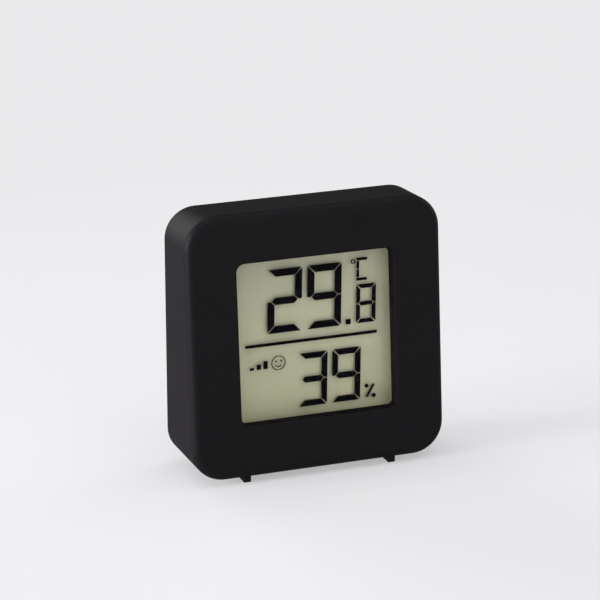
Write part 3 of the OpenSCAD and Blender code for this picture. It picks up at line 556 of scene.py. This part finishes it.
def lacquered_board():
    """Green lacquer, paler over the copper tracks, which run level in one patch and upright in the next."""
    lacquer_deep = (0.008, 0.07, 0.03)
    lacquer_pale = (0.02, 0.16, 0.06)
    lacquer_rough = 0.3
    track_strength = 0.5
    track_relief = 0.03 * mm
    material, shader, add, link = paintbox("board_green")
    place = add("ShaderNodeTexCoord").outputs["Object"]
    patches = add("ShaderNodeTexVoronoi", Scale=1 / track_patch)
    patches.distance = "CHEBYCHEV"
    choice = add("ShaderNodeSeparateXYZ")
    which_way = add("ShaderNodeMath")
    which_way.operation = "ROUND"
    tracks = add("ShaderNodeMix")
    for direction, side in (("X", "A"), ("Z", "B")):
        lines = stripes(add, track_pitch, direction)
        link(place, lines.inputs["Vector"])
        link(lines.outputs["Fac"], tracks.inputs[side])
    tones = tone_ramp(add, lacquer_deep, lacquer_pale, low=0.5, high=0.6)
    skin = add("ShaderNodeBump", Strength=track_strength, Distance=track_relief)
    link(place, patches.inputs["Vector"])
    link(patches.outputs["Color"], choice.inputs["Vector"])
    link(choice.outputs["X"], which_way.inputs[0])
    link(which_way.outputs["Value"], tracks.inputs["Factor"])
    link(tracks.outputs["Result"], tones.inputs["Fac"])
    link(tones.outputs["Color"], shader.inputs["Base Color"])
    link(tracks.outputs["Result"], skin.inputs["Height"])
    link(skin.outputs["Normal"], shader.inputs["Normal"])
    shader.inputs["Roughness"].default_value = lacquer_rough
    return material


def plated(name, deep, pale, rough, streak):
    """Plated metal, drawn or stamped, with fine streaks along one axis and uneven polish."""
    streak_stretch = 0.15
    streak_strength = 0.15
    streak_relief = 0.01 * mm
    streak_gloss = 0.07
    material, shader, add, link = paintbox(name)
    place = add("ShaderNodeTexCoord").outputs["Object"]
    stretch = add("ShaderNodeMapping", Scale=(streak_stretch / streak, 1 / streak, 1 / streak))
    streaks = add("ShaderNodeTexNoise", Scale=1, Detail=4)
    tones = tone_ramp(add, deep, pale)
    gloss = uneven(add, rough - streak_gloss, rough + streak_gloss)
    skin = add("ShaderNodeBump", Strength=streak_strength, Distance=streak_relief)
    link(place, stretch.inputs["Vector"])
    link(stretch.outputs["Vector"], streaks.inputs["Vector"])
    link(streaks.outputs["Fac"], tones.inputs["Fac"])
    link(tones.outputs["Color"], shader.inputs["Base Color"])
    link(streaks.outputs["Fac"], gloss.inputs["Value"])
    link(gloss.outputs["Result"], shader.inputs["Roughness"])
    link(streaks.outputs["Fac"], skin.inputs["Height"])
    link(skin.outputs["Normal"], shader.inputs["Normal"])
    shader.inputs["Metallic"].default_value = 1
    return material


zinc = plated("zinc_plate", deep=(0.2, 0.2, 0.21), pale=(0.32, 0.32, 0.335), rough=0.36, streak=0.4 * mm)
dress("main_board", lacquered_board())
ease_edges("board_screws", edge=0.1 * mm)
dress("board_screws", zinc)
chip_resin = moulded("chip_resin", deep=(0.006, 0.006, 0.007), pale=(0.01, 0.01, 0.011), sheen=0.5,
                     rough=0.22, grain=1.5 * mm, relief=0.05 * mm)
close_seams("chip_blob")
dress("chip_blob", chip_resin)
ease_edges("crystal", edge=0.15 * mm)
tin_can = plated("tin_can", deep=(0.52, 0.52, 0.54), pale=(0.66, 0.66, 0.68), rough=0.3, streak=0.3 * mm)
dress("crystal", tin_can)
chip_ceramic = striped("chip_ceramic", deep=(0.4, 0.26, 0.13), pale=(0.62, 0.6, 0.58), pitch=part_pitch,
                       direction="X", rough=0.45)
dress("board_parts", chip_ceramic)


# Two sensors stand behind the vents: a ceramic plate with comb electrodes, whose coating takes up damp,
# and a thermistor, a bead dipped in resin.
comb_pitch = 0.5 * mm
comb_ceramic = striped("comb_ceramic", deep=(0.5, 0.47, 0.38), pale=(0.78, 0.77, 0.72), pitch=comb_pitch,
                       direction="Z", rough=0.5)
dress("humidity_sensor", comb_ceramic)
bead_resin = moulded("bead_resin", deep=(0.03, 0.042, 0.065), pale=(0.05, 0.068, 0.1), sheen=0.5, rough=0.25,
                     grain=1 * mm, relief=0.03 * mm)
close_seams("thermistor")
dress("thermistor", bead_resin)


# A small switch on the board holds a sprung plunger under the button on the back. The button is a
# smooth black moulding with a dished cap, and a flange that keeps it behind the cover.
switch_black = moulded("switch_black", deep=(0.012, 0.012, 0.013), pale=(0.02, 0.02, 0.022), sheen=0.3,
                       rough=0.45, grain=0.3 * mm, relief=0.01 * mm)
ease_edges("tact_switch", edge=0.15 * mm)
dress("tact_switch", switch_black)
plunger_tan = moulded("plunger_tan", deep=(0.5, 0.39, 0.2), pale=(0.6, 0.48, 0.27), sheen=0.4, rough=0.4,
                      grain=0.5 * mm, relief=0.01 * mm)
ease_edges("switch_plunger", edge=0.15 * mm)
dress("switch_plunger", plunger_tan)
button_black = moulded("button_black", deep=(0.012, 0.012, 0.013), pale=(0.017, 0.017, 0.018), sheen=0.35,
                       rough=0.38, grain=0.6 * mm, relief=0.004 * mm)
ease_edges("unit_button", edge=0.25 * mm, corner=math.radians(30))
dress("unit_button", button_black)


# The rear cover is moulded in the same black plastic as the case, with the battery's trough, the vents
# and the keyhole in one piece. Four self-tapping screws pull it into the rim of the case.
ease_edges("rear_cover", edge=0.18 * mm)
dress("rear_cover", case_black)
ease_edges("case_screws", edge=0.1 * mm)
dress("case_screws", zinc)


# The battery's contacts are stamped from nickel-plated spring steel. The negative one carries a conical
# spring, wound from steel wire, which presses the cell against the positive one.
wire_r = 0.3 * mm
coil_turns = 3
turn_steps = 32
coil_wide_r = 3.3 * mm
coil_tip_r = 1.9 * mm
nickel = plated("nickel_plate", deep=(0.6, 0.58, 0.53), pale=(0.74, 0.72, 0.67), rough=0.26, streak=0.3 * mm)
for contact in ("positive_contact", "negative_contact"):
    ease_edges(contact, edge=0.06 * mm)
    dress(contact, nickel)


def drawn_wire(name, points, radius, material):
    """A round wire along smooth points, fixed to the case."""
    curve = bpy.data.curves.new(name, "CURVE")
    curve.dimensions = "3D"
    curve.bevel_depth = radius
    curve.bevel_resolution = 6
    curve.use_fill_caps = True
    spline = curve.splines.new("POLY")
    spline.points.add(len(points) - 1)
    for place, point in zip(spline.points, points):
        place.co = (*point, 1)
    spline.use_smooth = True
    curve.materials.append(material)
    piece = bpy.data.objects.new(name, curve)
    bpy.context.scene.collection.objects.link(piece)
    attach(piece, "case")
    return piece


cell_low, cell_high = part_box("aaa_cell")
cell_y = (cell_low.y + cell_high.y) / 2
cell_z = (cell_low.z + cell_high.z) / 2
spring_low, spring_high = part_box("contact_spring")
coil_start = spring_low.x + 2 * wire_r
coil_end = spring_high.x - 2 * wire_r
coil_steps = coil_turns * turn_steps
spring_points = [(spring_low.x, cell_y + coil_wide_r, cell_z)]
for step in range(coil_steps + 1):
    share = step / coil_steps
    turn = 2 * math.pi * coil_turns * share
    radius = coil_wide_r + (coil_tip_r - coil_wide_r) * share
    x = coil_start + (coil_end - coil_start) * share
    spring_points.append((x, cell_y + radius * math.cos(turn), cell_z + radius * math.sin(turn)))
spring_points.append((spring_high.x, cell_y + coil_tip_r, cell_z))
spring = drawn_wire("cell_spring", spring_points, wire_r, nickel)
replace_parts(spring, "contact_spring")


# Two short leads, stranded copper in soft plastic, run from the contacts' tabs up to the board, one red
# and one black. Each is soldered square to its tab and to its pad, with one easy bend between.
lead_r = 0.5 * mm
lead_stub = 2 * lead_r
lead_pull = 2.5 * mm
lead_steps = 24
tab_step = 1 * mm
pad_x = 19 * mm
pad_up = 1.5 * mm
red_tones = ((0.4, 0.016, 0.011), (0.5, 0.024, 0.016))
black_tones = ((0.009, 0.009, 0.009), (0.013, 0.013, 0.013))

contact_low, contact_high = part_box("positive_contact")
board_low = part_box("main_board")[0]
inward = Vector((-1, 0, 0))
off_board = on_face(0, 1, 0) - on_face(0, 0, 0)
tab = Vector((contact_low.x, cell_y + tab_step, contact_high.z - lead_stub))
pad = on_face(pad_x, board_back_depth, rise_of(board_low.z, board_back_depth) + pad_up)
bend_start = tab + inward * lead_stub
bend_end = pad + off_board * lead_stub
start_pull = bend_start + inward * lead_pull
end_pull = bend_end + off_board * lead_pull
bend = interpolate_bezier(bend_start, start_pull, end_pull, bend_end, lead_steps + 1)
for side, name, node, slot, (deep, pale) in (
        (1, "red_lead", "positive_lead", "red_insulation", red_tones),
        (-1, "black_lead", "negative_lead", "black_insulation", black_tones)):
    sleeve = moulded(name, deep, pale, sheen=0.4, rough=0.4, grain=0.5 * mm, relief=0.01 * mm)
    path = [(side * point.x, point.y, point.z) for point in (tab, *bend, pad)]
    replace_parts(drawn_wire(name, path, lead_r, sleeve), node)


# The cell is an AAA: a drawn steel can in a plain printed sleeve, rolled over a plastic washer at the
# positive end, where the cap stands proud, and bare at the negative end.
cell_r = (cell_high.z - cell_low.z) / 2
cell_length = cell_high.x - cell_low.x
cap_r = 1.9 * mm
cap_h = 0.9 * mm
sleeve_lip = 0.5 * mm
washer_r = 3.6 * mm
washer_sink = 0.2 * mm
bare_end_r = 3.9 * mm
bare_end_w = 0.534 * mm
band_w = 9 * mm


def printed_sleeve():
    """A lacquered sleeve, grey with a darker band at the positive end, worn a little along its length."""
    bare_steel = (0.6, 0.6, 0.6)
    sleeve_grey = (0.2, 0.24, 0.28)
    band_dark = (0.03, 0.034, 0.04)
    cap_steel = (0.62, 0.62, 0.6)
    scuff_size = 4 * mm
    least_rough = 0.3
    most_rough = 0.42
    metal_share = 0.6
    material, shader, add, link = paintbox("cell_sleeve")
    place = add("ShaderNodeTexCoord").outputs["Object"]
    split = add("ShaderNodeSeparateXYZ")
    along = add("ShaderNodeMapRange", From_Min=cell_low.x, From_Max=cell_high.x)
    bands = tone_ramp(add, bare_steel, cap_steel, low=0, high=1 - (cap_h + washer_sink) / cell_length)
    bands.color_ramp.interpolation = "CONSTANT"
    for start, tone in ((bare_end_w, sleeve_grey), (cell_length - cap_h - band_w, band_dark)):
        stop = bands.color_ramp.elements.new(start / cell_length)
        stop.color = (*tone, 1)
    scuffs = add("ShaderNodeTexNoise", Scale=1 / scuff_size, Detail=2)
    gloss = uneven(add, least_rough, most_rough)
    link(place, split.inputs["Vector"])
    link(split.outputs["X"], along.inputs["Value"])
    link(along.outputs["Result"], bands.inputs["Fac"])
    link(bands.outputs["Color"], shader.inputs["Base Color"])
    link(place, scuffs.inputs["Vector"])
    link(scuffs.outputs["Fac"], gloss.inputs["Value"])
    link(gloss.outputs["Result"], shader.inputs["Roughness"])
    shader.inputs["Metallic"].default_value = metal_share
    return material


cap_root = cell_high.x - cap_h
washer_x = cap_root - washer_sink
cell_profile = [(bare_end_r, cell_low.x + washer_sink), (bare_end_r, cell_low.x),
                (cell_r - sleeve_lip, cell_low.x), (cell_r, cell_low.x + sleeve_lip),
                (cell_r, cap_root - sleeve_lip), (cell_r - sleeve_lip, cap_root),
                (washer_r, cap_root), (washer_r, washer_x), (cap_r, washer_x),
                (cap_r, cell_high.x - washer_sink), (cap_r - washer_sink, cell_high.x)]
cell_mesh = bmesh.new()
turned(cell_mesh, cell_profile, lambda dy, along, dz: Vector((along, cell_y + dy, cell_z + dz)), steps=72)
cell = make_piece(cell_mesh, "dry_cell", "case", printed_sleeve())
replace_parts(cell, "aaa_cell")


# The battery door is moulded in the case's plastic. It turns on two stub axles at its lower edge, and a
# springy tongue at its upper edge snaps behind the cover; three grooves give the thumbnail a grip.
ease_edges("battery_door", edge=0.15 * mm)
dress("battery_door", case_black)


# The object stands on a plain pale table top, which runs out of sight on all sides. It keeps a soft
# shadow near the object, and further off it is evenly pale.
floor_half = 6
floor_deep = (0.665, 0.665, 0.68)
floor_pale = (0.675, 0.675, 0.69)
floor_far = (0.82, 0.82, 0.835)
floor_rough = 0.8
floor_sheen = 0.1
cloud_size = 40 * mm
near_floor = 0.07
far_floor = 0.24
near_glow = 0.5


def seen_rays(add, link):
    """Marks the rays that see the background straight, in a gloss or through glass."""
    path = add("ShaderNodeLightPath")
    seen = path.outputs["Is Camera Ray"]
    for kind in ("Is Glossy Ray", "Is Transmission Ray"):
        either = add("ShaderNodeMath")
        either.operation = "MAXIMUM"
        link(seen, either.inputs[0])
        link(path.outputs[kind], either.inputs[1])
        seen = either.outputs["Value"]
    return seen


def pale_table():
    """A matte white top, which blends from its own shaded tone into an even pale one with the distance."""
    material, shader, add, link = paintbox("table_top")
    place = add("ShaderNodeTexCoord").outputs["Object"]
    clouds = add("ShaderNodeTexNoise", Scale=1 / cloud_size, Detail=3)
    tones = tone_ramp(add, floor_deep, floor_pale)
    glow = add("ShaderNodeEmission", Color=(*floor_far, 1))
    blend = add("ShaderNodeMixShader")
    away = add("ShaderNodeVectorMath")
    away.operation = "LENGTH"
    share = add("ShaderNodeMapRange", From_Min=near_floor, From_Max=far_floor, To_Min=near_glow)
    seen_share = add("ShaderNodeMath")
    seen_share.operation = "MULTIPLY"
    link(place, clouds.inputs["Vector"])
    link(clouds.outputs["Fac"], tones.inputs["Fac"])
    link(tones.outputs["Color"], shader.inputs["Base Color"])
    link(place, away.inputs[0])
    link(away.outputs["Value"], share.inputs["Value"])
    link(share.outputs["Result"], seen_share.inputs[0])
    link(seen_rays(add, link), seen_share.inputs[1])
    link(seen_share.outputs["Value"], blend.inputs["Fac"])
    link(shader.outputs["BSDF"], blend.inputs[1])
    link(glow.outputs["Emission"], blend.inputs[2])
    link(blend.outputs["Shader"], material.node_tree.nodes["Material Output"].inputs["Surface"])
    shader.inputs["Roughness"].default_value = floor_rough
    shader.inputs["Specular IOR Level"].default_value = floor_sheen
    return material


floor_corners = [(x * floor_half, y * floor_half, 0) for x, y in ((-1, -1), (1, -1), (1, 1), (-1, 1))]
floor_mesh = bpy.data.meshes.new("floor")
floor_mesh.from_pydata(floor_corners, [], [(0, 1, 2, 3)])
floor_mesh.materials.append(pale_table())
floor = bpy.data.objects.new("floor", floor_mesh)
bpy.context.scene.collection.objects.link(floor)


# The studio: a strong soft box to the left, weaker ones overhead, in front, behind and to the right, and a
# pale room that fills the shadows.
room_pale = (0.82, 0.82, 0.835)
room_dim = (0.2, 0.2, 0.205)
pale_height = 0.06
dim_height = 0.2


def soft_box(name, place, size, watts):
    """A square lamp with a white cloth, turned to the object."""
    light = bpy.data.lights.new(name, "AREA")
    light.size = size
    light.energy = watts
    lamp = bpy.data.objects.new(name, light)
    lamp.location = place
    to_object = Vector((0, 0, face_middle)) - Vector(place)
    lamp.rotation_euler = to_object.to_track_quat("-Z", "Y").to_euler()
    bpy.context.scene.collection.objects.link(lamp)


def pale_room():
    """A room that is pale round the horizon and dimmer overhead."""
    world = bpy.data.worlds.new("room")
    world.use_nodes = True
    tree = world.node_tree
    place = tree.nodes.new("ShaderNodeTexCoord")
    split = tree.nodes.new("ShaderNodeSeparateXYZ")
    heights = tone_ramp(tree.nodes.new, room_pale, room_dim, low=pale_height, high=dim_height)
    tree.links.new(place.outputs["Generated"], split.inputs["Vector"])
    tree.links.new(split.outputs["Z"], heights.inputs["Fac"])
    tree.links.new(heights.outputs["Color"], tree.nodes["Background"].inputs["Color"])
    return world


soft_box("left_box", place=(-1.04, 0, 0.18), size=0.6, watts=24)
soft_box("top_box", place=(0.05, -0.12, 1.15), size=1.5, watts=10)
soft_box("front_box", place=(0.4, -1.15, 0.45), size=0.8, watts=3.3)
soft_box("back_box", place=(-0.5, 1.1, 0.4), size=0.9, watts=11)
soft_box("right_box", place=(1.0, 0.25, 0.35), size=0.8, watts=4)
bpy.context.scene.world = pale_room()
bpy.context.scene.view_settings.view_transform = "Standard"


# The camera stands to the left of the display, a little above it, with a long lens. The picture is square,
# and the case sits a little below its middle.
picture_px = 600
focal_px = 2953
aim_px = (306.45, 328.09)
aim = Vector((0, -0.087 * mm, 31.474 * mm))
azimuth = math.radians(-20.55)
elevation = math.radians(19.3)
distance = 661.5 * mm
camera_data = bpy.data.cameras.new("camera")
camera_data.sensor_width = 36
camera_data.lens = camera_data.sensor_width * focal_px / picture_px
camera_data.shift_x = (picture_px / 2 - aim_px[0]) / picture_px
camera_data.shift_y = (aim_px[1] - picture_px / 2) / picture_px
camera = bpy.data.objects.new("camera", camera_data)
towards = Vector((math.sin(azimuth) * math.cos(elevation), -math.cos(azimuth) * math.cos(elevation),
                  math.sin(elevation)))
camera.location = aim + towards * distance
camera.rotation_euler = (-towards).to_track_quat("-Z", "Y").to_euler()
bpy.context.scene.collection.objects.link(camera)
bpy.context.scene.camera = camera
